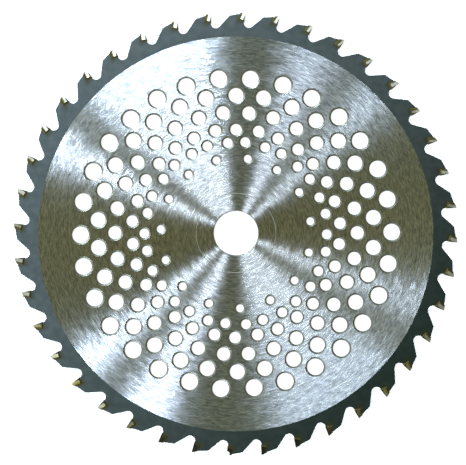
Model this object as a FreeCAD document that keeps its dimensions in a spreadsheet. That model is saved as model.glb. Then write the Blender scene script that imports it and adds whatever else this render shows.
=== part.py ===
import FreeCAD, Part

import math
import os

import Sketcher

# Driving sizes
# Lengths are in millimetres and angles in degrees. The blade lies in the XY plane with its
# bore along Z, seen from +Z, and every tooth is described from its own reference radius, which
# runs along the tooth's cutting face. Teeth and holes are counted anticlockwise from tooth 1.
SIZES = (
    ("outer_diameter", 255, "circle through the highest corners of the tips"),
    ("bore_diameter", 25.4, "arbor bore"),
    ("rim_width", 14.3, "outer circle to the edge of the surface-ground disc"),
    ("ground_thickness", 1.4, "steel inside the ground disc"),
    ("rim_thickness", 1.5, "steel left as hardened outside it"),
    ("tooth_count", 40, "teeth round the rim"),
    ("first_tooth_angle", 6.61, "tooth 1's reference radius, from +X"),
    ("crown_drop", 0.27, "outer circle to the crown line, on the reference radius"),
    ("crown_relief", 12.6, "fall of the crown line behind the face"),
    ("land_length", 8.92, "face to heel corner"),
    ("gullet_depth", 8.77, "outer circle to the bottom of the gullet"),
    ("gullet_radius", 2.55, "round bottom of the gullet"),
    ("seat_drop", 4.1, "outer circle to the corner of the tip seat"),
    ("seat_depth", 3.0, "seat corner behind the reference radius"),
    ("seat_lean", 20.4, "seat wall from the reference radius"),
    ("braze_gap", 0.15, "filler between the tip and its seat"),
    ("braze_run", 0.8, "filler run out over the tooth's side"),
    ("braze_rise", 0.25, "filler built up on the tooth's side against the tip"),
    ("tip_width", 2.2, "kerf, across the blade"),
    ("tip_overhang", 0.33, "highest corner in front of the reference radius"),
    ("tip_hook", 4.0, "tip face from the reference radius"),
    ("tip_bevel", 12.0, "alternate bevel of the tip's top"),
    ("chipped_tooth", 30, "the tooth whose tip is broken"),
    ("chip_depth", 1.68, "how far the break reaches back from the tip's face"),
    ("chip_height", 2.75, "how far the break reaches down from the tip's corner"),
    ("chip_step", 0.9, "height of the break's shell-shaped hollow at its back"),
    ("chip_radius", 1.3, "curve of that hollow"),
    ("group_count", 15, "times the hole group is punched"),
)

# The punched group of eleven holes: name, distance in from the outer circle, and angle from
# tooth 1's radius. The letter is the ring, and each ring has a punch of its own.
HOLES = (
    ("a1", 38.51, 5.97),
    ("a2", 38.17, 17.70),
    ("b1", 48.32, 11.31),
    ("b2", 48.17, 23.82),
    ("c1", 58.14, 5.18),
    ("c2", 57.96, 17.45),
    ("d1", 68.07, 11.28),
    ("d2", 67.65, 22.75),
    ("e1", 74.96, 5.56),
    ("e2", 75.49, 16.51),
    ("f1", 84.33, 2.34),
)
HOLE_DIAMETERS = (("a", 9.5), ("b", 8.5), ("c", 7.5), ("d", 6.5), ("e", 5.5), ("f", 4.45))

# Steel that the blank has outside the crowns, and how far a cut runs past what it cuts
BLANK_ALLOWANCE = 3
CUT_OVERRUN = 2
# The braze fillet's top edge is this many times thinner than the filler in the gap
FEATHER = 3

doc = FreeCAD.newDocument("brush_cutter_blade")
sheet = doc.addObject("Spreadsheet::Sheet", "sizes")


def fill_sheet():
    """Write every driving size into the sheet, one named cell to a row."""
    rows = list(SIZES)
    for ring, diameter in HOLE_DIAMETERS:
        rows.append((f"hole_{ring}_diameter", diameter, f"punch of ring {ring}"))
    for name, inset, angle in HOLES:
        rows.append((f"hole_{name}_inset", inset, f"hole {name} in from the outer circle"))
        rows.append((f"hole_{name}_angle", angle, f"hole {name} from tooth 1's radius"))
    for number, (alias, value, meaning) in enumerate(rows, start=1):
        sheet.set(f"A{number}", meaning)
        sheet.set(f"B{number}", str(value))
        sheet.setAlias(f"B{number}", alias)
    doc.recompute()


def size(expression):
    """The present value of an expression over the sheet."""
    value = sheet.evalExpression(expression)
    return float(getattr(value, "Value", value))


# Expressions that several outlines share
PITCH = "(360 / sizes.tooth_count)"
RELIEF_SLOPE = "tan(sizes.crown_relief)"
OUTER_RADIUS = "(sizes.outer_diameter / 2)"
GROUND_RADIUS = f"({OUTER_RADIUS} - sizes.rim_width)"
CROWN_RADIUS = f"({OUTER_RADIUS} - sizes.crown_drop)"
HEEL_RADIUS = f"({CROWN_RADIUS} - sizes.land_length * {RELIEF_SLOPE})"
SEAT_RADIUS = f"({OUTER_RADIUS} - sizes.seat_drop)"
GULLET_CENTRE_RADIUS = f"({OUTER_RADIUS} - sizes.gullet_depth + sizes.gullet_radius)"
BLANK_RADIUS = f"({OUTER_RADIUS} + {BLANK_ALLOWANCE})"
CLEAR_RADIUS = f"(({OUTER_RADIUS} + 2 * {BLANK_ALLOWANCE}) / cos(180 / sizes.tooth_count))"


# Sketch helpers
def sketch_in(body, name, height="0"):
    """A sketch on the body's XY plane, lifted by an expression."""
    planes = [item for item in body.Origin.OriginFeatures if item.Role == "XY_Plane"]
    sketch = body.newObject("Sketcher::SketchObject", name)
    sketch.AttachmentSupport = [(planes[0], "")]
    sketch.MapMode = "FlatFace"
    if height != "0":
        sketch.setExpression("AttachmentOffset.Base.z", f"({height}) * 1 mm")
    return sketch


def bind(sketch, expression, *constraint):
    """Add a constraint that carries a size, and tie it to the sheet."""
    number = sketch.addConstraint(Sketcher.Constraint(*constraint, size(expression)))
    sketch.setExpression(f"Constraints[{number}]", expression)


def bind_point(sketch, line, end, place):
    """Tie a point to its two coordinates, given as expressions."""
    bind(sketch, place[0], "DistanceX", -1, 1, line, end)
    bind(sketch, place[1], "DistanceY", -1, 1, line, end)


def outline(sketch, places):
    """A closed outline of straight edges with every corner tied to its expressions."""
    corners = [FreeCAD.Vector(size(place[0]), size(place[1]), 0) for place in places]
    first = sketch.GeometryCount
    for number, corner in enumerate(corners):
        following = corners[(number + 1) % len(corners)]
        sketch.addGeometry(Part.LineSegment(corner, following), False)
    for number, place in enumerate(places):
        line = first + number
        following = first + (number + 1) % len(places)
        sketch.addConstraint(Sketcher.Constraint("Coincident", line, 2, following, 1))
        bind_point(sketch, line, 1, place)


def turned(place, degrees):
    """A place turned about the blade's centre, as expressions."""
    along, across = place
    return (
        f"(({along}) * cos({degrees}) - ({across}) * sin({degrees}))",
        f"(({along}) * sin({degrees}) + ({across}) * cos({degrees}))",
    )


# Places in a tooth's own frame: the first value runs out along the reference radius and the
# second runs back from it, away from the cutting face.
def seat_place(along_wall, off_wall):
    """A place measured from the seat's corner, along its wall and off it towards the face."""
    return (
        f"({SEAT_RADIUS} + ({along_wall}) * cos(sizes.seat_lean)"
        f" - ({off_wall}) * sin(sizes.seat_lean))",
        f"(sizes.seat_depth - ({along_wall}) * sin(sizes.seat_lean)"
        f" - ({off_wall}) * cos(sizes.seat_lean))",
    )


def wall_to_crown(off_wall):
    """How far a line off the seat's wall runs from the corner's level to the crown line."""
    return (
        f"((sizes.seat_drop - sizes.crown_drop - sizes.seat_depth * {RELIEF_SLOPE}"
        f" + ({off_wall}) * (sin(sizes.seat_lean) + {RELIEF_SLOPE} * cos(sizes.seat_lean)))"
        f" / (cos(sizes.seat_lean) - {RELIEF_SLOPE} * sin(sizes.seat_lean)))"
    )


def floor_to_face(along_wall):
    """How far a line above the seat's floor runs from the wall to the tooth's face."""
    return f"((sizes.seat_depth - ({along_wall}) * sin(sizes.seat_lean)) / cos(sizes.seat_lean))"


def tip_floor_run():
    """How far the tip's foot runs from the wall to the tip's own face."""
    return (
        "((sizes.seat_depth - sizes.braze_gap * sin(sizes.seat_lean) + sizes.tip_overhang"
        " - (sizes.seat_drop - sizes.braze_gap * cos(sizes.seat_lean))"
        " * tan(sizes.tip_hook)) / (cos(sizes.seat_lean) + sin(sizes.seat_lean) * tan(sizes.tip_hook)))"
    )


def place_body(body, label, turns="0"):
    """Label a body and turn it to its tooth."""
    body.Label = label
    body.Placement = FreeCAD.Placement(
        FreeCAD.Vector(0, 0, 0), FreeCAD.Rotation(FreeCAD.Vector(0, 0, 1), 1)
    )
    angle = f"(sizes.first_tooth_angle + {turns} * {PITCH}) * 1 deg"
    body.setExpression("Placement.Rotation.Angle", angle)


def polar_pattern(body, name, feature, count):
    """Repeat a feature evenly round the blade."""
    pattern = body.newObject("PartDesign::PolarPattern", name)
    axes = [item for item in body.Origin.OriginFeatures if item.Role == "Z_Axis"]
    pattern.Originals = [feature]
    pattern.Axis = (axes[0], [""])
    pattern.Angle = 360
    pattern.setExpression("Occurrences", count)
    body.Tip = pattern
    return pattern


# The steel plate
def turned_blank(body):
    """The disc's half section, with the bore and the ground step, turned about Z."""
    planes = [item for item in body.Origin.OriginFeatures if item.Role == "XZ_Plane"]
    axes = [item for item in body.Origin.OriginFeatures if item.Role == "Z_Axis"]
    section = body.newObject("Sketcher::SketchObject", "blank_section")
    section.AttachmentSupport = [(planes[0], "")]
    section.MapMode = "FlatFace"
    half_ground = "sizes.ground_thickness / 2"
    half_rim = "sizes.rim_thickness / 2"
    outline(section, (
        ("sizes.bore_diameter / 2", f"-{half_ground}"),
        (GROUND_RADIUS, f"-{half_ground}"),
        (GROUND_RADIUS, f"-{half_rim}"),
        (BLANK_RADIUS, f"-{half_rim}"),
        (BLANK_RADIUS, half_rim),
        (GROUND_RADIUS, half_rim),
        (GROUND_RADIUS, half_ground),
        ("sizes.bore_diameter / 2", half_ground),
    ))
    blank = body.newObject("PartDesign::Revolution", "blank")
    blank.Profile = section
    blank.ReferenceAxis = (axes[0], [""])
    blank.Angle = 360


def through_pocket(body, sketch, name):
    """Cut a sketch right through the plate, both ways from its middle."""
    pocket = body.newObject("PartDesign::Pocket", name)
    pocket.Profile = sketch
    pocket.SideType = "Symmetric"
    pocket.setExpression("Length", f"(sizes.rim_thickness + {CUT_OVERRUN}) * 1 mm")
    return pocket


def tooth_gap(body):
    """
    What is cut away ahead of one tooth: the tip seat in its crown, its face, the round gullet
    and the back and crown of the tooth in front, whose heel corner the back line leaves to run
    tangent into the gullet.
    """
    sketch = sketch_in(body, "tooth_gap_outline")
    back_turn = f"(-{PITCH})"
    seat_top = seat_place(f"(sizes.seat_drop + 2 * {BLANK_ALLOWANCE})", "0")
    seat_corner = seat_place("0", "0")
    seat_front = seat_place("0", floor_to_face("0"))
    heel = turned((HEEL_RADIUS, "sizes.land_length"), back_turn)
    crown_front = turned((CROWN_RADIUS, "0"), back_turn)
    clear_front = turned((CLEAR_RADIUS, "0"), back_turn)

    # The gullet's centre lies its own radius ahead of the face, and the back line leaves the
    # heel at the tangent angle
    gullet = size("sizes.gullet_radius")
    reach = size(GULLET_CENTRE_RADIUS)
    centre = FreeCAD.Vector(math.sqrt(reach ** 2 - gullet ** 2), -gullet, 0)
    corner = FreeCAD.Vector(size(heel[0]), size(heel[1]), 0)
    to_centre = centre - corner
    bearing = math.atan2(to_centre.y, to_centre.x)
    spread = math.asin(gullet / to_centre.Length)
    run = math.sqrt(to_centre.Length ** 2 - gullet ** 2)
    touch = corner + FreeCAD.Vector(math.cos(bearing + spread), math.sin(bearing + spread), 0) * run
    touch_angle = math.atan2(touch.y - centre.y, touch.x - centre.x)
    arc = Part.ArcOfCircle(
        Part.Circle(centre, FreeCAD.Vector(0, 0, 1), gullet), math.pi / 2, touch_angle + 2 * math.pi
    )

    chain = [seat_top, seat_corner, seat_front]
    points = [FreeCAD.Vector(size(x), size(y), 0) for x, y in chain]
    face_foot = FreeCAD.Vector(centre.x, 0, 0)
    after = [heel, crown_front, clear_front]
    after_points = [FreeCAD.Vector(size(x), size(y), 0) for x, y in after]
    wall = sketch.addGeometry(Part.LineSegment(points[0], points[1]), False)
    floor = sketch.addGeometry(Part.LineSegment(points[1], points[2]), False)
    face = sketch.addGeometry(Part.LineSegment(points[2], face_foot), False)
    round_floor = sketch.addGeometry(arc, False)
    back = sketch.addGeometry(Part.LineSegment(touch, after_points[0]), False)
    crown = sketch.addGeometry(Part.LineSegment(after_points[0], after_points[1]), False)
    side = sketch.addGeometry(Part.LineSegment(after_points[1], after_points[2]), False)
    outer = sketch.addGeometry(Part.LineSegment(after_points[2], points[0]), False)
    for first, second in ((wall, floor), (floor, face), (back, crown), (crown, side), (side, outer)):
        sketch.addConstraint(Sketcher.Constraint("Coincident", first, 2, second, 1))
    sketch.addConstraint(Sketcher.Constraint("Coincident", outer, 2, wall, 1))
    sketch.addConstraint(Sketcher.Constraint("Tangent", face, 2, round_floor, 1))
    sketch.addConstraint(Sketcher.Constraint("Tangent", round_floor, 2, back, 1))
    sketch.addConstraint(Sketcher.Constraint("Horizontal", face))
    for line, place in ((wall, seat_top), (floor, seat_corner), (face, seat_front)):
        bind_point(sketch, line, 1, place)
    for line, place in ((crown, heel), (side, crown_front), (outer, clear_front)):
        bind_point(sketch, line, 1, place)
    bind(sketch, "sizes.gullet_radius", "Radius", round_floor)
    bind(sketch, GULLET_CENTRE_RADIUS, "Distance", -1, 1, round_floor, 3)
    return through_pocket(body, sketch, "tooth_gap")


def hole_group(body):
    """The eleven holes that one blow of the press makes."""
    sketch = sketch_in(body, "hole_group_outline")
    for name, inset, angle in HOLES:
        reach = f"({OUTER_RADIUS} - sizes.hole_{name}_inset)"
        turn = f"sizes.hole_{name}_angle"
        place = (f"{reach} * cos({turn})", f"{reach} * sin({turn})")
        diameter = f"sizes.hole_{name[0]}_diameter"
        centre = FreeCAD.Vector(size(place[0]), size(place[1]), 0)
        circle = Part.Circle(centre, FreeCAD.Vector(0, 0, 1), size(diameter) / 2)
        number = sketch.addGeometry(circle, False)
        bind(sketch, diameter, "Diameter", number)
        bind_point(sketch, number, 3, place)
    return through_pocket(body, sketch, "hole_group")


def blade_plate():
    body = doc.addObject("PartDesign::Body", "blade_plate")
    turned_blank(body)
    gap = tooth_gap(body)
    polar_pattern(body, "tooth_gaps", gap, "sizes.tooth_count")
    holes = hole_group(body)
    polar_pattern(body, "punched_holes", holes, "sizes.group_count")
    place_body(body, "blade_plate")
    return body


# The carbide tips
def tip_side(body, name, height, drop):
    """One side of a tip: foot and back along the seat, crown and face to the cutting corner."""
    sketch = sketch_in(body, name, height)
    heel = seat_place("sizes.braze_gap", "sizes.braze_gap")
    toe = seat_place("sizes.braze_gap", tip_floor_run())
    corner = (f"({OUTER_RADIUS} - {drop})", f"({drop} * tan(sizes.tip_hook) - sizes.tip_overhang)")
    crown_rise = f"(sizes.crown_drop - sizes.tip_overhang * {RELIEF_SLOPE} - {drop})"
    back_run = (
        f"({wall_to_crown('sizes.braze_gap')}"
        f" + {crown_rise} / (cos(sizes.seat_lean) - {RELIEF_SLOPE} * sin(sizes.seat_lean)))"
    )
    crown_back = seat_place(back_run, "sizes.braze_gap")
    outline(sketch, (toe, heel, crown_back, corner))
    return sketch


def carbide_tip(number):
    """A tip in its seat, its top bevelled to one side on odd teeth and the other on even ones."""
    label = f"carbide_tip_{number:02d}"
    body = doc.addObject("PartDesign::Body", label)
    low_side = "sizes.tip_width * tan(sizes.tip_bevel)"
    upper_drop = "0" if number % 2 else low_side
    lower_drop = low_side if number % 2 else "0"
    lower = tip_side(body, f"{label}_lower_side", "-sizes.tip_width / 2", lower_drop)
    upper = tip_side(body, f"{label}_upper_side", "sizes.tip_width / 2", upper_drop)
    tip = body.newObject("PartDesign::AdditiveLoft", f"{label}_block")
    tip.Profile = lower
    tip.Sections = [upper]
    tip.Ruled = True
    body.Tip = tip
    if number == int(size("sizes.chipped_tooth")):
        break_corner(body, label)
    place_body(body, label, str(number - 1))
    return body


def arc_between(start, end, radius):
    """The arc of a given radius that runs anticlockwise from one point to another."""
    chord = end - start
    rise = math.sqrt(radius ** 2 - (chord.Length / 2) ** 2)
    off_chord = FreeCAD.Vector(-chord.y, chord.x, 0).normalize() * rise
    centre = (start + end) / 2 + off_chord
    circle = Part.Circle(centre, FreeCAD.Vector(0, 0, 1), radius)
    return Part.ArcOfCircle(circle, circle.parameter(start), circle.parameter(end))


def break_corner(body, label):
    """The break: down behind the lost corner, then a shell-shaped hollow out to the face."""
    sketch = sketch_in(body, f"{label}_break_outline")
    outside = f"({OUTER_RADIUS} + {CUT_OVERRUN})"
    foot = f"({OUTER_RADIUS} - sizes.chip_height)"
    back = "(sizes.chip_depth - sizes.tip_overhang)"
    in_front = f"(-sizes.tip_overhang - {CUT_OVERRUN})"
    places = (
        (foot, "(-sizes.tip_overhang)"),
        (foot, in_front),
        (outside, in_front),
        (outside, back),
        (f"({foot} + sizes.chip_step)", back),
    )
    corners = [FreeCAD.Vector(size(along), size(across), 0) for along, across in places]
    for number, place in enumerate(places[:-1]):
        sketch.addGeometry(Part.LineSegment(corners[number], corners[number + 1]), False)
        bind_point(sketch, number, 1, place)
        if number:
            sketch.addConstraint(Sketcher.Constraint("Coincident", number - 1, 2, number, 1))
    last = len(places) - 2
    bind_point(sketch, last, 2, places[-1])
    hollow = sketch.addGeometry(arc_between(corners[-1], corners[0], size("sizes.chip_radius")), False)
    sketch.addConstraint(Sketcher.Constraint("Coincident", hollow, 1, last, 2))
    sketch.addConstraint(Sketcher.Constraint("Coincident", hollow, 2, 0, 1))
    bind(sketch, "sizes.chip_radius", "Radius", hollow)
    pocket = body.newObject("PartDesign::Pocket", f"{label}_break")
    pocket.Profile = sketch
    pocket.SideType = "Symmetric"
    pocket.setExpression("Length", f"(sizes.tip_width + {CUT_OVERRUN}) * 1 mm")
    body.Tip = pocket


# The brass filler
def seam_outline(body, name, height, outer_run, inner_run):
    """
    A hooked outline along the seat's wall and floor. It reaches outer_run into the tooth from
    the seat and inner_run towards the tip.
    """
    sketch = sketch_in(body, name, height)
    outer = f"(-{outer_run})"
    outline(sketch, (
        seat_place(outer, floor_to_face(outer)),
        seat_place(outer, outer),
        seat_place(wall_to_crown(outer), outer),
        seat_place(wall_to_crown(inner_run), inner_run),
        seat_place(inner_run, inner_run),
        seat_place(inner_run, floor_to_face(inner_run)),
    ))
    return sketch


def braze_seams():
    """
    One seam to a tooth: a layer that fills the gap between tip and seat, with a fillet on each
    side of the plate that leans on the tip, which is wider than the plate.
    """
    body = doc.addObject("PartDesign::Body", "braze_seams")
    body.AllowCompound = True
    half_rim = "sizes.rim_thickness / 2"
    top = f"({half_rim} + sizes.braze_rise)"
    thin = f"(sizes.braze_gap / {FEATHER})"
    layer = body.newObject("PartDesign::Pad", "seam_layer")
    layer.Profile = seam_outline(body, "seam_layer_outline", "0", "0", "sizes.braze_gap")
    layer.SideType = "Symmetric"
    layer.setExpression("Length", "sizes.rim_thickness * 1 mm")
    fillets = []
    for side, sign in (("upper", ""), ("lower", "-")):
        foot = seam_outline(body, f"{side}_foot", sign + half_rim, "sizes.braze_run", "sizes.braze_gap")
        edge = seam_outline(body, f"{side}_edge", sign + top, thin, "sizes.braze_gap")
        fillet = body.newObject("PartDesign::AdditiveLoft", f"{side}_fillet")
        fillet.Profile = foot
        fillet.Sections = [edge]
        fillet.Ruled = True
        fillets.append(fillet)
    pattern = polar_pattern(body, "seams_round_rim", layer, "sizes.tooth_count")
    pattern.Originals = [layer] + fillets
    place_body(body, "braze_seams")
    return body


def check(items):
    """Stop if an object failed, or a shape is empty or not valid."""
    for item in doc.Objects:
        if "Invalid" in item.State or "Error" in item.State:
            raise RuntimeError(f"{item.Label} failed: {item.State}")
    for item in items:
        if item.Shape.isNull() or not item.Shape.isValid() or not item.Shape.Solids:
            raise RuntimeError(f"{item.Label} has no valid solid")


def write(items):
    """Write one file for each piece, named by its label."""
    os.makedirs("parts", exist_ok=True)
    for item in items:
        item.Shape.exportStep(os.path.join("parts", item.Label + ".step"))


fill_sheet()
pieces = [blade_plate()]
for tooth in range(1, int(size("sizes.tooth_count")) + 1):
    pieces.append(carbide_tip(tooth))
pieces.append(braze_seams())
doc.recompute()
check(pieces)
write(pieces)
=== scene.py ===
"""A brush cutter blade: ground steel disc, dark toothed rim, carbide tips in brass braze."""

import math

import bmesh
import bpy
from mathutils import Matrix, Vector


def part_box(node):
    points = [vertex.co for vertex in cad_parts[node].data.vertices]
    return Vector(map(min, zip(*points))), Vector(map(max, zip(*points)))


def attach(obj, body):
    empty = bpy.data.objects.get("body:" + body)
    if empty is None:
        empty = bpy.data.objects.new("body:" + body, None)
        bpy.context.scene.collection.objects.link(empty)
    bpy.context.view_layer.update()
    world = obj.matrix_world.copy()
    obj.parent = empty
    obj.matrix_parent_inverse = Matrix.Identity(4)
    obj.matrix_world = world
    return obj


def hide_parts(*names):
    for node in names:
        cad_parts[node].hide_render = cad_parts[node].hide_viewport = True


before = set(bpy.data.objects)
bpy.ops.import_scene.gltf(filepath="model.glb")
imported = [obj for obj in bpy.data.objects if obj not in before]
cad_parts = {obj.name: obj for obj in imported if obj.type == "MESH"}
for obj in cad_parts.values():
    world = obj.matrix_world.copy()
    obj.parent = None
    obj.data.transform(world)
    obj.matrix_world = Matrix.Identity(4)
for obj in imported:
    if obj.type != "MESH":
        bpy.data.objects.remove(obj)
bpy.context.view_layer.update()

MM = 0.001

# The blade, in millimetres and degrees
TEETH = 40
FIRST_TOOTH = 6.61
OUTER = 127.5
GROUND = 113.2
BORE = 12.7
HALF_RIM = 0.75
HALF_GROUND = 0.70

# One tooth: out along the radius through its face, and round from that radius
CROWN_TIP = 127.23
CROWN_FALL = 12.6
LAND = 8.92
GULLET_DEPTH = 8.77
GULLET_RADIUS = 2.55
SEAT_CORNER = (123.4, 3.0)
SEAT_LEAN = 20.4

# One of the fifteen groups of holes: radius of the ring, angle past the first tooth, diameter
HOLE_GROUPS = 15
HOLE_GROUP = (
    (88.99, 5.97, 9.5), (89.33, 17.70, 9.5),
    (79.18, 11.31, 8.5), (79.33, 23.82, 8.5),
    (69.36, 5.18, 7.5), (69.54, 17.45, 7.5),
    (59.43, 11.28, 6.5), (59.85, 22.75, 6.5),
    (52.54, 5.56, 5.5), (52.01, 16.51, 5.5),
    (43.17, 2.34, 4.45),
)

# The clamped middle: a plain land with one scribed circle round the bore
LAND_CIRCLE = 35.0
SCRIBED = 22.8
SCRIBED_WIDTH = 0.28
SCRIBED_DEPTH = 0.06

# Edges: a width lies across the face, and a drop goes down from it. A punch rolls the face over
# gently and then breaks it, and the cut outline has one small break.
ROLL_WIDTH = 1.0
ROLL_DROP = 0.16
BREAK_WIDTH = 0.12
BREAK_DROP = 0.08
BORE_ROLL = 0.5
OUTLINE_BREAK = 0.32
OUTLINE_DROP = 0.13
SHARP_ANGLE = math.radians(12)

# How many steps draw a gullet, the ground disc's edge, the land's circle and a hole
GULLET_STEPS = 14
RING_STEPS = 240
LAND_STEPS = 120
HOLE_STEPS = 36

# Points nearer than this are one point, in metres
WELD = 2e-6

# How upright a face's normal stands, from 0 to 1: under the first on a wall, over the second on
# a face that lies more or less flat, and over the third on one that is quite level
WALL_LEVEL = 0.1
FACE_LEVEL = 0.9
FLAT_LEVEL = 0.995

# Marks of the grinding wheel: how far apart across and how long round the axis, in millimetres,
# and where each pattern starts. Real grooves lie a few hundredths of a millimetre apart, far too
# fine to show, so they are drawn as coarse as they need to show.
STREAKS = (2.2, 13.0, 0.0)
GROOVES = (0.75, 3.6, 11.0)
TONES = (0.8, 3.6, 17.0)
BLOTCHES = (5.0, 8.0, 5.0)

# The part of a noise that is drawn out to the whole of 0 to 1
NOISE_MIDDLE = (0.34, 0.66)

# What those marks do: slopes of groove flanks, and turns of the grain, as tangents
GROOVE_SLOPE = 0.13
STREAK_SLOPE = 0.05
STREAK_TURN = 0.07
BLOTCH_TURN = 0.06
DRAG_PER_METRE = 0.12

# How large the spots of other patterns are, in millimetres
SCALE_MOTTLE = 3.85
PUNCH_WEAR = 1.11
CARBIDE_SPECKLE = 0.667
BRASS_DULLING = 1.43

# The rim's scale is painted lighter towards azimuth 130 degrees and darker away from it: painted light and
# shade
PAINTED_LIGHT_SIDE = (-0.643, 0.766, 0.0)


def linear(hex_colour):
    """An sRGB hex colour as the linear colour that a shader takes."""
    parts = [int(hex_colour[i:i + 2], 16) / 255 for i in (1, 3, 5)]
    return [c / 12.92 if c <= 0.04045 else ((c + 0.055) / 1.055) ** 2.4 for c in parts] + [1.0]


def put(tree, kind, inputs=None, **settings):
    """Adds one node, gives it its settings, and fills or links its inputs. A node given as an
    input is linked from its first output in use, and a hex colour is turned to linear. A list is
    linked from its last to its first, so that it is joined in its own order."""
    node = tree.nodes.new(kind)
    for name, value in settings.items():
        setattr(node, name, value)
    for key, value in (inputs or {}).items():
        socket = node.inputs[key]
        for source in reversed(value) if isinstance(value, list) else [value]:
            if isinstance(source, bpy.types.Node):
                source = next(output for output in source.outputs if output.enabled)
            if isinstance(source, bpy.types.NodeSocket):
                tree.links.new(source, socket)
            elif isinstance(source, str) and source.startswith("#"):
                socket.default_value = linear(source)
            else:
                socket.default_value = source
    return node


# The plate's lines

def line_object(name, points, radii=None):
    """Points in millimetres for a node tree to read: joined in order, or loose with a radius each."""
    mesh = bpy.data.meshes.new(name)
    edges = [] if radii else [(i, i + 1) for i in range(len(points) - 1)]
    mesh.from_pydata([Vector(point) * MM for point in points], edges, [])
    if radii:
        layer = mesh.attributes.new("hole radius", "FLOAT", "POINT")
        layer.data.foreach_set("value", [radius * MM for radius in radii])
    return bpy.data.objects.new(name, mesh)


def tooth_line():
    """One pitch of the blade's outline, from a gullet's floor over a crown to the next gullet."""
    pitch = math.radians(360 / TEETH)
    first = math.radians(FIRST_TOOTH)
    fall = math.radians(CROWN_FALL)
    lean = math.radians(SEAT_LEAN)

    def at(v, u, tooth=0):
        turn = first + tooth * pitch
        x = v * math.cos(turn) - u * math.sin(turn)
        y = v * math.sin(turn) + u * math.cos(turn)
        return Vector((x, y, 0))

    heel = (CROWN_TIP - LAND * math.tan(fall), LAND)
    seat_v, seat_u = SEAT_CORNER
    floor_end = (seat_v - seat_u * math.tan(lean), 0)
    # the seat's wall leans ahead as it rises to the crown
    rise = (CROWN_TIP - seat_u * math.tan(fall) - seat_v) / (1 - math.tan(lean) * math.tan(fall))
    wall_top = (seat_v + rise, seat_u - rise * math.tan(lean))
    # the gullet's arc runs from the back of the tooth ahead to this tooth's face
    gullet = at(OUTER - GULLET_DEPTH + GULLET_RADIUS, -GULLET_RADIUS)
    away = at(*heel, -1) - gullet
    start = math.atan2(away.y, away.x) - math.acos(GULLET_RADIUS / away.length)
    stop = first + math.pi / 2
    while start < stop:
        start += 2 * math.pi
    points = []
    for i in range(GULLET_STEPS + 1):
        turn = start + (stop - start) * i / GULLET_STEPS
        points.append(gullet + GULLET_RADIUS * Vector((math.cos(turn), math.sin(turn), 0)))
    points += [at(*floor_end), at(*SEAT_CORNER), at(*wall_top), at(*heel)]
    # the back of this tooth ends where the next pitch's gullet begins
    points.append(Matrix.Rotation(pitch, 3, "Z") @ points[0])
    return points


def hole_section():
    """A punched hole's edges and wall in section: how far outside the hole, and how high."""
    upper = [
        (ROLL_WIDTH, HALF_GROUND),
        (BREAK_WIDTH, HALF_GROUND - ROLL_DROP),
        (0, HALF_GROUND - ROLL_DROP - BREAK_DROP),
    ]
    return [(x, z, 0) for x, z in upper] + [(x, -z, 0) for x, z in reversed(upper)]


def land_section():
    """The plain middle in section, from the land's circle in to the bore and back. The sweep turns
    a section over, so the scribed line is drawn below to lie on the upper face."""
    roll = ROLL_DROP * BORE_ROLL / ROLL_WIDTH
    bore_edge = [
        (BORE + BORE_ROLL, HALF_GROUND),
        (BORE + BREAK_WIDTH, HALF_GROUND - roll),
        (BORE, HALF_GROUND - roll - BREAK_DROP),
    ]
    upper = [
        (LAND_CIRCLE, -HALF_GROUND),
        (SCRIBED + SCRIBED_WIDTH / 2, -HALF_GROUND),
        (SCRIBED, SCRIBED_DEPTH - HALF_GROUND),
        (SCRIBED - SCRIBED_WIDTH / 2, -HALF_GROUND),
        *[(r, -z) for r, z in bore_edge],
    ]
    lower = [*reversed(bore_edge), (LAND_CIRCLE, HALF_GROUND)]
    return [(r - LAND_CIRCLE, z, 0) for r, z in upper + lower]


def hole_points():
    """The middles of one group's eleven holes."""
    turns = [math.radians(FIRST_TOOTH + angle) for _, angle, _ in HOLE_GROUP]
    return [(hole[0] * math.cos(t), hole[0] * math.sin(t), 0) for hole, t in zip(HOLE_GROUP, turns)]


# The node tree that builds the plate

def new_tree(name, inputs):
    """An empty geometry tree with its named inputs and one geometry output."""
    tree = bpy.data.node_groups.new(name, "GeometryNodeTree")
    for label, kind, value in inputs:
        socket = tree.interface.new_socket(label, in_out="INPUT", socket_type="NodeSocket" + kind)
        if value is not None:
            socket.default_value = value
    tree.interface.new_socket("Geometry", in_out="OUTPUT", socket_type="NodeSocketGeometry")
    return tree


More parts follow.
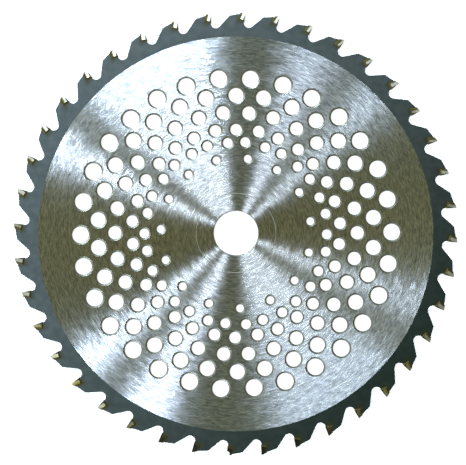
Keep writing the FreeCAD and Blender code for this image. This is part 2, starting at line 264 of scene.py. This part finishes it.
def plate_tree(rim, ground, cut, scratch):
    """The blade plate: outline of turned teeth, punched holes, ground disc and scribed land."""
    tree = new_tree("blade plate", [
        ("Teeth", "Int", TEETH),
        ("Tooth line", "Object", None),
        ("Hole groups", "Int", HOLE_GROUPS),
        ("Hole group", "Object", None),
        ("Edge section", "Object", None),
        ("Land section", "Object", None),
        ("Ground radius", "Float", GROUND * MM),
        ("Land radius", "Float", LAND_CIRCLE * MM),
        ("Scribed radius", "Float", SCRIBED * MM),
        ("Scribed width", "Float", SCRIBED_WIDTH * MM),
        ("Half rim", "Float", HALF_RIM * MM),
        ("Half ground", "Float", HALF_GROUND * MM),
        ("Roll width", "Float", ROLL_WIDTH * MM),
    ])
    given = put(tree, "NodeGroupInput").outputs
    tooth, hole_group, hole_edge, land_edge = [
        put(tree, "GeometryNodeObjectInfo", {"Object": given[name]}).outputs["Geometry"]
        for name in ("Tooth line", "Hole group", "Edge section", "Land section")
    ]

    def around(geometry, count):
        """Copies of a geometry turned evenly about the blade's axis."""
        index = put(tree, "GeometryNodeInputIndex")
        step = put(tree, "ShaderNodeMath", {0: math.tau, 1: count}, operation="DIVIDE")
        turn = put(tree, "ShaderNodeMath", {0: index, 1: step}, operation="MULTIPLY")
        rotation = put(tree, "FunctionNodeAxisAngleToRotation", {"Axis": (0, 0, 1), "Angle": turn})
        points = put(tree, "GeometryNodePoints", {"Count": count})
        copies = put(tree, "GeometryNodeInstanceOnPoints", {
            "Points": points, "Instance": geometry, "Rotation": rotation})
        return put(tree, "GeometryNodeRealizeInstances", {0: copies})

    def lifted(geometry, height):
        """A geometry moved up or down to a height."""
        offset = put(tree, "ShaderNodeCombineXYZ", {"Z": height})
        return put(tree, "GeometryNodeTransform", {"Geometry": geometry, "Translation": offset})

    def both_faces(curves, high, low):
        """The flat face inside and between closed curves, above and below."""
        lines = put(tree, "GeometryNodeJoinGeometry", {0: curves})
        face = put(tree, "GeometryNodeFillCurve", {0: lines}, mode="TRIANGLES")
        return [lifted(face, high), lifted(face, low)]

    def wall(curve, top, bottom):
        """A straight wall that drops from a closed curve."""
        line = put(tree, "GeometryNodeCurveToMesh", {"Curve": curve})
        depth = put(tree, "ShaderNodeMath", {0: bottom, 1: top}, operation="SUBTRACT")
        drop = put(tree, "ShaderNodeCombineXYZ", {"Z": depth})
        return put(tree, "GeometryNodeExtrudeMesh", {
            "Mesh": lifted(line, top), "Offset": drop}, mode="EDGES")

    def swept(curve, section):
        """A section carried round closed curves."""
        upright = put(tree, "GeometryNodeSetCurveNormal", {0: curve}, mode="Z_UP")
        profile = put(tree, "GeometryNodeMeshToCurve", {0: section})
        return put(tree, "GeometryNodeCurveToMesh", {"Curve": upright, "Profile Curve": profile})

    def hole_rings(extra):
        """A ring round each hole, wider than the hole by the extra radius."""
        size = put(tree, "ShaderNodeMath", {0: hole_radius, 1: extra}, operation="ADD")
        scale = put(tree, "ShaderNodeCombineXYZ", {"X": size, "Y": size, "Z": 1.0})
        ring = put(tree, "GeometryNodeCurvePrimitiveCircle", {
            "Resolution": HOLE_STEPS, "Radius": 1.0}, mode="RADIUS")
        rings = put(tree, "GeometryNodeInstanceOnPoints", {
            "Points": holes, "Instance": ring, "Scale": scale})
        return put(tree, "GeometryNodeRealizeInstances", {0: rings})

    # the toothed outline and the step down to the ground disc
    turned = around(tooth, given["Teeth"])
    pitches = put(tree, "GeometryNodeMergeByDistance", {"Geometry": turned, "Distance": WELD})
    outline = put(tree, "GeometryNodeMeshToCurve", {0: pitches})
    low_rim = put(tree, "ShaderNodeMath", {0: given["Half rim"], 1: -1.0}, operation="MULTIPLY")
    low_ground = put(tree, "ShaderNodeMath", {0: given["Half ground"], 1: -1.0}, operation="MULTIPLY")
    ground_ring = put(tree, "GeometryNodeCurvePrimitiveCircle", {
        "Resolution": RING_STEPS, "Radius": given["Ground radius"]}, mode="RADIUS")
    rim_faces = both_faces([outline, ground_ring], given["Half rim"], low_rim)
    walls = [
        wall(outline, given["Half rim"], low_rim),
        wall(ground_ring, given["Half rim"], given["Half ground"]),
        wall(ground_ring, low_ground, low_rim),
    ]

    # the ground disc with its holes, and the land round the bore
    holes = around(hole_group, given["Hole groups"])
    hole_radius = put(tree, "GeometryNodeInputNamedAttribute", {"Name": "hole radius"}, data_type="FLOAT")
    land_ring = put(tree, "GeometryNodeCurvePrimitiveCircle", {
        "Resolution": LAND_STEPS, "Radius": given["Land radius"]}, mode="RADIUS")
    disc_faces = both_faces([ground_ring, land_ring, hole_rings(given["Roll width"])],
                            given["Half ground"], low_ground)
    hole_walls = swept(hole_rings(0.0), hole_edge)
    land = swept(land_ring, land_edge)
    shells = put(tree, "GeometryNodeJoinGeometry", {0: [*rim_faces, *walls, *disc_faces, hole_walls, land]})
    whole = put(tree, "GeometryNodeMergeByDistance", {"Geometry": shells, "Distance": WELD})
    real = put(tree, "GeometryNodeRealizeInstances", {0: whole})

    # flat faces are ground or scaled, and everything that isn't level was cut or punched
    place = put(tree, "GeometryNodeInputPosition")
    flat = put(tree, "ShaderNodeVectorMath", {0: place, 1: (1.0, 1.0, 0.0)}, operation="MULTIPLY")
    out = put(tree, "ShaderNodeVectorMath", {0: flat}, operation="LENGTH")
    level = put(tree, "ShaderNodeSeparateXYZ", {0: put(tree, "GeometryNodeInputNormal")}).outputs["Z"]
    upright = put(tree, "ShaderNodeMath", {0: level}, operation="ABSOLUTE")
    past_line = put(tree, "ShaderNodeMath", {0: out, 1: given["Scribed radius"]}, operation="SUBTRACT")
    off_line = put(tree, "ShaderNodeMath", {0: past_line}, operation="ABSOLUTE")
    half_line = put(tree, "ShaderNodeMath", {0: given["Scribed width"], 1: 0.5}, operation="MULTIPLY")
    in_rim = put(tree, "FunctionNodeCompare", {0: out, 1: given["Ground radius"]}, operation="GREATER_THAN")
    steep = put(tree, "FunctionNodeCompare", {0: upright, 1: FLAT_LEVEL}, operation="LESS_THAN")
    on_line = put(tree, "FunctionNodeCompare", {0: off_line, 1: half_line}, operation="LESS_THAN")
    dressed = put(tree, "GeometryNodeSetMaterial", {"Geometry": real, "Material": ground})
    for where, material in ((in_rim, rim), (steep, cut), (on_line, scratch)):
        dressed = put(tree, "GeometryNodeSetMaterial", {
            "Geometry": dressed, "Selection": where, "Material": material})
    put(tree, "NodeGroupOutput", {0: dressed})
    return tree


def is_outline(edge):
    """True for an edge between the rim's flat face and the wall of the toothed outline."""
    if len(edge.link_faces) != 2:
        return False
    lower, higher = sorted(abs(face.normal.z) for face in edge.link_faces)
    far_out = min(vertex.co.xy.length for vertex in edge.verts) > (GROUND + 1) * MM
    return far_out and lower < WALL_LEVEL and higher > FACE_LEVEL


def break_outline(shell):
    """Takes the sharp corner off both edges of the toothed outline."""
    bmesh.ops.bevel(shell, geom=[edge for edge in shell.edges if is_outline(edge)],
                    offset=OUTLINE_BREAK * MM, offset_type="OFFSET", segments=1, profile=0.5,
                    affect="EDGES", clamp_overlap=True)
    for vertex in shell.verts:
        if abs(abs(vertex.co.z) - (HALF_RIM - OUTLINE_BREAK) * MM) < WELD:
            vertex.co.z = math.copysign((HALF_RIM - OUTLINE_DROP) * MM, vertex.co.z)
    shell.normal_update()


def built(name, tree, values):
    """Runs a tree on an empty mesh and keeps its result as one plain, closed mesh."""
    carrier = bpy.data.objects.new(name + "_tree", bpy.data.meshes.new(name + "_tree"))
    bpy.context.scene.collection.objects.link(carrier)
    modifier = carrier.modifiers.new("build", "NODES")
    modifier.node_group = tree
    sockets = {s.name: s.identifier for s in tree.interface.items_tree if s.in_out == "INPUT"}
    for label, value in values.items():
        modifier[sockets[label]] = value
    bpy.context.view_layer.update()
    evaluated = carrier.evaluated_get(bpy.context.evaluated_depsgraph_get())
    mesh = bpy.data.meshes.new_from_object(evaluated)
    carrier.modifiers.remove(modifier)
    bpy.data.objects.remove(carrier)
    mesh.name = name
    shell = bmesh.new()
    shell.from_mesh(mesh)
    bmesh.ops.recalc_face_normals(shell, faces=shell.faces)
    break_outline(shell)
    for edge in shell.edges:
        finishes = {face.material_index for face in edge.link_faces}
        edge.smooth = len(finishes) == 1 and edge.calc_face_angle(math.pi) < SHARP_ANGLE
    for face in shell.faces:
        face.smooth = True
    shell.to_mesh(mesh)
    shell.free()
    piece = bpy.data.objects.new(name, mesh)
    bpy.context.scene.collection.objects.link(piece)
    return piece


# Finishes

def new_material(name):
    material = bpy.data.materials.new(name)
    material.use_nodes = True
    material.node_tree.nodes.clear()
    return material, material.node_tree


def blade_place(tree):
    """Where a point lies on the blade: its place and radius in metres, and its directions
    outward and round the axis."""
    place = put(tree, "ShaderNodeTexCoord").outputs["Object"]
    flat = put(tree, "ShaderNodeVectorMath", {0: place, 1: (1.0, 1.0, 0.0)}, operation="MULTIPLY")
    radius = put(tree, "ShaderNodeVectorMath", {0: flat}, operation="LENGTH")
    outward = put(tree, "ShaderNodeVectorMath", {0: flat}, operation="NORMALIZE")
    round_axis = put(tree, "ShaderNodeVectorMath", {0: (0.0, 0.0, 1.0), 1: outward},
                     operation="CROSS_PRODUCT")
    return {"place": place, "radius": radius, "outward": outward, "round axis": round_axis}


def wheel_marks(tree, spot, marks):
    """Noise drawn out round the axis, as a grinding wheel leaves it."""
    apart, length, start = marks
    drawn_out = put(tree, "ShaderNodeVectorMath", {0: spot["place"], 3: 1 / (length * MM)},
                    operation="SCALE")
    along = put(tree, "ShaderNodeSeparateXYZ", {0: drawn_out}).outputs
    across = put(tree, "ShaderNodeMath", {0: spot["radius"], 1: 1 / (apart * MM)},
                 operation="MULTIPLY")
    where = put(tree, "ShaderNodeCombineXYZ", {"X": along[0], "Y": along[1], "Z": across})
    started = put(tree, "ShaderNodeVectorMath", {0: where, 1: (start, 2 * start, 3 * start)},
                  operation="ADD")
    return put(tree, "ShaderNodeTexNoise", {
        "Vector": started, "Scale": 1.0, "Detail": 3.0, "Roughness": 0.6})


def ground_face(tree, spot, lead=0.0, tilt=0.0):
    """How a face ground round the axis lies: its tone, the direction of its grain, and its normal.
    Lead turns the grain off the circle, in degrees, and tilt leans the face outward, as a slope."""
    low, high = NOISE_MIDDLE
    streak, groove, tone = [
        put(tree, "ShaderNodeMapRange", {
            "Value": wheel_marks(tree, spot, marks), "From Min": low, "From Max": high})
        for marks in (STREAKS, GROOVES, TONES)
    ]
    blotch = wheel_marks(tree, spot, BLOTCHES)
    # streaks and blotches turn the grain a little to and fro about its lead
    lead_turn = math.tan(math.radians(lead)) - (STREAK_TURN + BLOTCH_TURN) / 2
    blotched = put(tree, "ShaderNodeMath", {0: blotch, 1: BLOTCH_TURN, 2: lead_turn},
                   operation="MULTIPLY_ADD")
    turned = put(tree, "ShaderNodeMath", {0: streak, 1: STREAK_TURN, 2: blotched},
                 operation="MULTIPLY_ADD")
    aside = put(tree, "ShaderNodeVectorMath", {0: spot["round axis"], 3: turned}, operation="SCALE")
    across = put(tree, "ShaderNodeVectorMath", {0: spot["outward"], 1: aside}, operation="ADD")
    grain = put(tree, "ShaderNodeVectorTransform", {0: across}, vector_type="VECTOR",
                convert_from="OBJECT", convert_to="WORLD")
    # grooves and streaks have flanks that slope in and out
    flank = put(tree, "ShaderNodeMath", {0: groove, 1: GROOVE_SLOPE, 2: tilt - GROOVE_SLOPE / 2},
                operation="MULTIPLY_ADD")
    streaked = put(tree, "ShaderNodeMath", {0: streak, 1: STREAK_SLOPE, 2: -STREAK_SLOPE / 2},
                   operation="MULTIPLY_ADD")
    slope = put(tree, "ShaderNodeMath", {0: flank, 1: streaked}, operation="ADD")
    sloped = put(tree, "ShaderNodeVectorMath", {0: spot["outward"], 3: slope}, operation="SCALE")
    # the wheel dragged the surface along: a face leans a little round the axis, more towards the rim
    drag = put(tree, "ShaderNodeMath", {0: spot["radius"], 1: DRAG_PER_METRE}, operation="MULTIPLY")
    dragged = put(tree, "ShaderNodeVectorMath", {0: spot["round axis"], 3: drag}, operation="SCALE")
    lean = put(tree, "ShaderNodeVectorMath", {0: sloped, 1: dragged}, operation="ADD")
    lean_in_world = put(tree, "ShaderNodeVectorTransform", {0: lean}, vector_type="VECTOR",
                        convert_from="OBJECT", convert_to="WORLD")
    face = put(tree, "ShaderNodeNewGeometry").outputs["Normal"]
    leaning = put(tree, "ShaderNodeVectorMath", {0: face, 1: lean_in_world}, operation="ADD")
    normal = put(tree, "ShaderNodeVectorMath", {0: leaning}, operation="NORMALIZE")
    return tone, grain, normal


def ground_steel():
    """Spring steel, ground flat on a turning table: fine grooves round the axis give bright
    fans where they run square to a lamp, and dark ones between."""
    material, tree = new_material("ground spring steel")
    spot = blade_place(tree)
    tone, grain, normal = ground_face(tree, spot)
    # the land round the bore has yellowed a little, and the disc's edge is the cleanest
    clean = put(tree, "ShaderNodeMapRange", {
        "Value": spot["radius"], "From Min": 30 * MM, "From Max": 112 * MM})
    yellowed = put(tree, "ShaderNodeMix", {0: tone, 6: "#A3A6AA", 7: "#E9EBEF"}, data_type="RGBA")
    cleaned = put(tree, "ShaderNodeMix", {0: tone, 6: "#A7AEB9", 7: "#EEF5FF"}, data_type="RGBA")
    colour = put(tree, "ShaderNodeMix", {0: clean, 6: yellowed, 7: cleaned}, data_type="RGBA")
    shader = put(tree, "ShaderNodeBsdfPrincipled", {
        "Base Color": colour, "Metallic": 1.0, "Roughness": 0.24,
        "Anisotropic": 1.0, "Tangent": grain, "Normal": normal})
    put(tree, "ShaderNodeOutputMaterial", {"Surface": shader})
    return material


def ahead_of_seat(tree, spot):
    """How far a point lies ahead of its own tooth's seat wall, in millimetres, and that tooth's
    number."""
    pitch = math.tau / TEETH
    lean = math.radians(SEAT_LEAN)
    xyz = put(tree, "ShaderNodeSeparateXYZ", {0: spot["place"]}).outputs
    bearing = put(tree, "ShaderNodeMath", {0: xyz[1], 1: xyz[0]}, operation="ARCTAN2")
    past = put(tree, "ShaderNodeMath", {0: bearing, 1: math.radians(FIRST_TOOTH)}, operation="SUBTRACT")
    pitches = put(tree, "ShaderNodeMath", {0: past, 1: pitch}, operation="DIVIDE")
    number = put(tree, "ShaderNodeMath", {0: pitches}, operation="ROUND")
    own = put(tree, "ShaderNodeMath", {0: past, 1: pitch / 2, 2: -pitch / 2}, operation="WRAP")
    radius_mm = put(tree, "ShaderNodeMath", {0: spot["radius"], 1: 1 / MM}, operation="MULTIPLY")
    sine = put(tree, "ShaderNodeMath", {0: own}, operation="SINE")
    cosine = put(tree, "ShaderNodeMath", {0: own}, operation="COSINE")
    u = put(tree, "ShaderNodeMath", {0: radius_mm, 1: sine}, operation="MULTIPLY")
    v = put(tree, "ShaderNodeMath", {0: radius_mm, 1: cosine}, operation="MULTIPLY")
    seat_v, seat_u = SEAT_CORNER
    ahead = put(tree, "ShaderNodeMath", {0: u, 1: -math.cos(lean), 2: seat_u * math.cos(lean)},
                operation="MULTIPLY_ADD")
    lift = put(tree, "ShaderNodeMath", {0: v, 1: -math.sin(lean), 2: seat_v * math.sin(lean)},
               operation="MULTIPLY_ADD")
    return put(tree, "ShaderNodeMath", {0: ahead, 1: lift}, operation="ADD"), number


def rim_scale():
    """Spring steel left with its tempering scale: a blue-grey film, slightly mottled, and tinted brown
    where the braze was made. The scale is painted lighter towards azimuth 130 degrees and darker
    away from it: painted light and shade."""
    material, tree = new_material("tempered steel scale")
    spot = blade_place(tree)
    mottle = put(tree, "ShaderNodeTexNoise", {
        "Vector": spot["place"], "Scale": 1 / (SCALE_MOTTLE * MM), "Detail": 4.0})
    # painted light and shade: the scale is painted lighter towards azimuth 130 degrees and darker away from
    # it
    toward_painted_light = put(tree, "ShaderNodeVectorMath", {0: spot["place"], 1: PAINTED_LIGHT_SIDE},
                      operation="DOT_PRODUCT")
    side = put(tree, "ShaderNodeMapRange", {
        "Value": toward_painted_light, "From Min": -116 * MM, "From Max": 30 * MM})
    lit_scale = put(tree, "ShaderNodeMix", {0: mottle, 6: "#565F61", 7: "#667072"}, data_type="RGBA")
    shaded_scale = put(tree, "ShaderNodeMix", {0: mottle, 6: "#333F3B", 7: "#3D4A45"}, data_type="RGBA")
    scale_and_painted_light = put(tree, "ShaderNodeMix", {0: side, 6: shaded_scale, 7: lit_scale}, data_type="RGBA")
    # the braze's heat tinted the steel up to 2.2 mm behind the seat's wall, high on the tooth, and
    # what lies more than 4.5 mm ahead of the wall is the next tooth's heel, which stayed cool
    ahead, _ = ahead_of_seat(tree, spot)
    near = put(tree, "ShaderNodeMapRange", {"Value": ahead, "From Min": -2.2, "From Max": 0.0})
    high = put(tree, "ShaderNodeMapRange", {
        "Value": spot["radius"], "From Min": 119.5 * MM, "From Max": 122.5 * MM})
    own = put(tree, "ShaderNodeMath", {0: ahead, 1: 4.5}, operation="LESS_THAN")
    near_high = put(tree, "ShaderNodeMath", {0: near, 1: high}, operation="MULTIPLY")
    near_own = put(tree, "ShaderNodeMath", {0: near_high, 1: own}, operation="MULTIPLY")
    heated = put(tree, "ShaderNodeMath", {0: near_own, 1: 0.7}, operation="MULTIPLY")
    colour = put(tree, "ShaderNodeMix", {0: heated, 6: scale_and_painted_light, 7: "#4A4422"}, data_type="RGBA")
    rough = put(tree, "ShaderNodeMapRange", {"Value": mottle, "To Min": 0.33, "To Max": 0.39})
    shader = put(tree, "ShaderNodeBsdfPrincipled", {
        "Base Color": colour, "Metallic": 1.0, "Roughness": rough})
    put(tree, "ShaderNodeOutputMaterial", {"Surface": shader})
    return material


def punched_edge():
    """Steel where a punch rolled it over and cut it: bright, smooth, with no grooves."""
    material, tree = new_material("punched steel edge")
    place = put(tree, "ShaderNodeTexCoord").outputs["Object"]
    wear = put(tree, "ShaderNodeTexNoise", {
        "Vector": place, "Scale": 1 / (PUNCH_WEAR * MM), "Detail": 2.0})
    colour = put(tree, "ShaderNodeMix", {0: wear, 6: "#8E8F85", 7: "#C9CAC0"}, data_type="RGBA")
    rough = put(tree, "ShaderNodeMapRange", {"Value": wear, "To Min": 0.22, "To Max": 0.26})
    shader = put(tree, "ShaderNodeBsdfPrincipled", {
        "Base Color": colour, "Metallic": 1.0, "Roughness": rough})
    put(tree, "ShaderNodeOutputMaterial", {"Surface": shader})
    return material


def scribed_line():
    """Steel torn by a scriber's point: a rough bright scratch that catches light from all round."""
    material, tree = new_material("scribed steel")
    shader = put(tree, "ShaderNodeBsdfPrincipled", {
        "Base Color": "#8A897C", "Metallic": 1.0, "Roughness": 0.58})
    put(tree, "ShaderNodeOutputMaterial", {"Surface": shader})
    return material


def ground_carbide():
    """Tungsten carbide: a bright diamond-ground land, a darker corner ahead of it, and
    brass that has wetted its back."""
    material, tree = new_material("ground tungsten carbide")
    spot = blade_place(tree)
    _, grain, normal = ground_face(tree, spot, lead=13.0, tilt=0.07)
    ahead, number = ahead_of_seat(tree, spot)
    chance = put(tree, "ShaderNodeTexWhiteNoise", {"W": number}, noise_dimensions="1D").outputs["Value"]
    speckle = put(tree, "ShaderNodeTexNoise", {
        "Vector": spot["place"], "Scale": 1 / (CARBIDE_SPECKLE * MM), "Detail": 2.0})
    # the brass ends in a ragged edge, further ahead on one tip than on another
    uneven = put(tree, "ShaderNodeMath", {0: chance, 1: -0.8, 2: ahead}, operation="MULTIPLY_ADD")
    ragged = put(tree, "ShaderNodeMath", {0: speckle, 1: 0.7, 2: uneven}, operation="MULTIPLY_ADD")
    wetted = put(tree, "ShaderNodeMapRange", {"Value": ragged, "From Min": 0.75, "From Max": 0.35})
    corner = put(tree, "ShaderNodeMapRange", {"Value": ahead, "From Min": 2.0, "From Max": 2.3})
    # painted light and shade: the tips are painted lighter towards +y, and painted near-black as deep shade
    # right at -y
    across = put(tree, "ShaderNodeSeparateXYZ", {0: spot["place"]}).outputs["Y"]
    painted_light_towards_y = put(tree, "ShaderNodeMapRange", {
        "Value": across, "From Min": 110 * MM, "From Max": -80 * MM, "To Min": -0.3, "To Max": 0.55})
    painted_deep_shade = put(tree, "ShaderNodeMapRange", {
        "Value": across, "From Min": -92 * MM, "From Max": -118 * MM, "To Max": 0.95})
    random_tone_and_painted_light = put(tree, "ShaderNodeMath", {0: chance, 1: 0.3, 2: painted_light_towards_y}, operation="MULTIPLY_ADD")
    film_and_painted_light = put(tree, "ShaderNodeMath", {0: speckle, 1: 0.5, 2: random_tone_and_painted_light}, operation="MULTIPLY_ADD")
    land = put(tree, "ShaderNodeMix", {0: film_and_painted_light, 6: "#E4E2D8", 7: "#7E7848"}, data_type="RGBA")
    fore = put(tree, "ShaderNodeMix", {0: corner, 6: land, 7: "#2A2A22"}, data_type="RGBA")
    brassy = put(tree, "ShaderNodeMix", {0: wetted, 6: fore, 7: "#5F562A"}, data_type="RGBA")
    # the near-black at -y is painted shade
    colour = put(tree, "ShaderNodeMix", {0: painted_deep_shade, 6: brassy, 7: "#171B17"}, data_type="RGBA")
    rough = put(tree, "ShaderNodeMapRange", {"Value": wetted, "To Min": 0.42, "To Max": 0.48})
    shader = put(tree, "ShaderNodeBsdfPrincipled", {
        "Base Color": colour, "Metallic": 1.0, "Roughness": rough,
        "Anisotropic": 0.5, "Tangent": grain, "Normal": normal})
    put(tree, "ShaderNodeOutputMaterial", {"Surface": shader})
    return material


def braze_brass():
    """Brass filler, melted and cooled in air: smooth menisci, dulled to gold and olive."""
    material, tree = new_material("brazing brass")
    place = put(tree, "ShaderNodeTexCoord").outputs["Object"]
    dull = put(tree, "ShaderNodeTexNoise", {
        "Vector": place, "Scale": 1 / (BRASS_DULLING * MM), "Detail": 3.0})
    colour = put(tree, "ShaderNodeMix", {0: dull, 6: "#2A2817", 7: "#4E4726"}, data_type="RGBA")
    rough = put(tree, "ShaderNodeMapRange", {"Value": dull, "To Min": 0.5, "To Max": 0.66})
    shader = put(tree, "ShaderNodeBsdfPrincipled", {
        "Base Color": colour, "Metallic": 1.0, "Roughness": rough})
    put(tree, "ShaderNodeOutputMaterial", {"Surface": shader})
    return material


def pale_floor():
    """A white sweep: white to the eye and in reflections, and it keeps the blade's shadow."""
    material, tree = new_material("white paper sweep")
    seen = put(tree, "ShaderNodeLightPath").outputs
    mirrored = put(tree, "ShaderNodeMath", {0: seen["Is Camera Ray"], 1: seen["Is Glossy Ray"]},
                   operation="MAXIMUM")
    directly = put(tree, "ShaderNodeMath", {0: mirrored, 1: seen["Is Transmission Ray"]},
                   operation="MAXIMUM")
    glow = put(tree, "ShaderNodeEmission", {"Color": "#FFFFFF", "Strength": 0.82})
    shade = put(tree, "ShaderNodeBsdfDiffuse", {"Color": "#898989"})
    shown = put(tree, "ShaderNodeAddShader", {0: glow, 1: shade})
    paper = put(tree, "ShaderNodeBsdfDiffuse", {"Color": "#E7E7E7"})
    mix = put(tree, "ShaderNodeMixShader", {0: directly, 1: paper, 2: shown})
    put(tree, "ShaderNodeOutputMaterial", {"Surface": mix})
    return material


# The pieces

tree = plate_tree(rim_scale(), ground_steel(), punched_edge(), scribed_line())
plate = built("saw_plate", tree, {
    "Tooth line": line_object("tooth_line", tooth_line()),
    "Hole group": line_object("hole_group", hole_points(), [d / 2 for _, _, d in HOLE_GROUP]),
    "Edge section": line_object("edge_section", hole_section()),
    "Land section": line_object("land_section", land_section()),
})
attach(plate, "root")
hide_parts("blade_plate")

carbide = ground_carbide()
brass = braze_brass()
for name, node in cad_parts.items():
    if name != "blade_plate":
        node.data.materials.clear()
        node.data.materials.append(brass if name == "braze_seams" else carbide)


# The floor that the blade lies on, in metres

FLOOR_HALF = 6
lowest = min(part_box(name)[0].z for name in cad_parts)
corners = [(x * FLOOR_HALF, y * FLOOR_HALF, lowest) for x, y in ((-1, -1), (1, -1), (1, 1), (-1, 1))]
sweep_mesh = bpy.data.meshes.new("sweep")
sweep_mesh.from_pydata(corners, [], [(0, 1, 2, 3)])
sweep_mesh.materials.append(pale_floor())
sweep = bpy.data.objects.new("sweep", sweep_mesh)
bpy.context.scene.collection.objects.link(sweep)


# Soft boxes: name, azimuth and zenith in degrees, width and height in metres, watts and colour
LAMP_DISTANCE = 3.5
LAMPS = (
    ("broad_box", 116.8, 41, 1.59, 0.81, 167.0, "#E4F2FF"),
    ("side_box", 153.0, 41, 0.27, 0.81, 41.0, "#E4F2FF"),
    ("low_box", 245.0, 41, 0.50, 0.81, 76.0, "#E4F0FF"),
    ("edge_box", 221.0, 41, 0.29, 0.81, 52.0, "#E4F2FF"),
)
for name, azimuth, zenith, width, height, watts, colour in LAMPS:
    light = bpy.data.lights.new(name, "AREA")
    light.shape = "RECTANGLE"
    light.size = width
    light.size_y = height
    light.energy = watts
    light.color = linear(colour)[:3]
    box = bpy.data.objects.new(name, light)
    bpy.context.scene.collection.objects.link(box)
    a = math.radians(azimuth)
    z = math.radians(zenith)
    toward = Vector((math.sin(z) * math.cos(a), math.sin(z) * math.sin(a), math.cos(z)))
    box.location = toward * LAMP_DISTANCE
    box.rotation_euler = toward.to_track_quat("Z", "Y").to_euler()


# A studio that is white low down and dim overhead, a little greener fore and aft. White gives way
# where a ray climbs by 0.22 to 0.36 of its length.
world = bpy.data.worlds.new("studio")
bpy.context.scene.world = world
world.use_nodes = True
sky = world.node_tree
sky.nodes.clear()
ray = put(sky, "ShaderNodeSeparateXYZ", {0: put(sky, "ShaderNodeTexCoord").outputs["Generated"]}).outputs
squared = put(sky, "ShaderNodeMath", {0: ray["Y"], 1: ray["Y"]}, operation="MULTIPLY")
fore_and_aft = put(sky, "ShaderNodeMath", {0: squared, 1: 6.0}, operation="MULTIPLY")
above = put(sky, "ShaderNodeMapRange", {"Value": ray["Z"], "From Min": 0.22, "From Max": 0.36})
ceiling = put(sky, "ShaderNodeMix", {0: fore_and_aft, 6: "#706E49", 7: "#4E5B4D"}, data_type="RGBA")
all_round = put(sky, "ShaderNodeMix", {0: above, 6: "#FFFFFF", 7: ceiling}, data_type="RGBA")
studio = put(sky, "ShaderNodeBackground", {"Color": all_round, "Strength": 1.0})
put(sky, "ShaderNodeOutputWorld", {"Surface": studio})


# The camera, as it stood over the blade: lengths in metres, its small leans and roll in degrees
LOOK_AT = Vector((-1.70, 0.31, 0.0)) * MM
CAMERA_DISTANCE = 1.0
FOCAL_PIXELS = 1744.3
PHOTO_WIDTH = 466
LEAN_X = math.radians(0.80)
LEAN_Y = math.radians(2.12)
ROLL = math.radians(0.09)
view = bpy.data.cameras.new("camera")
view.sensor_fit = "HORIZONTAL"
view.sensor_width = 36.0
view.lens = FOCAL_PIXELS * view.sensor_width / PHOTO_WIDTH
camera = bpy.data.objects.new("camera", view)
bpy.context.scene.collection.objects.link(camera)
back = Vector((-math.sin(LEAN_X), -math.sin(LEAN_Y), 0))
back.z = math.sqrt(1 - back.length_squared)
right = Vector((math.sin(ROLL), math.cos(ROLL), 0)).cross(back).normalized()
turn = Matrix((right, back.cross(right), back)).transposed()
camera.matrix_world = Matrix.Translation(LOOK_AT + CAMERA_DISTANCE * back) @ turn.to_4x4()
bpy.context.scene.camera = camera
bpy.context.scene.view_settings.view_transform = "Standard"
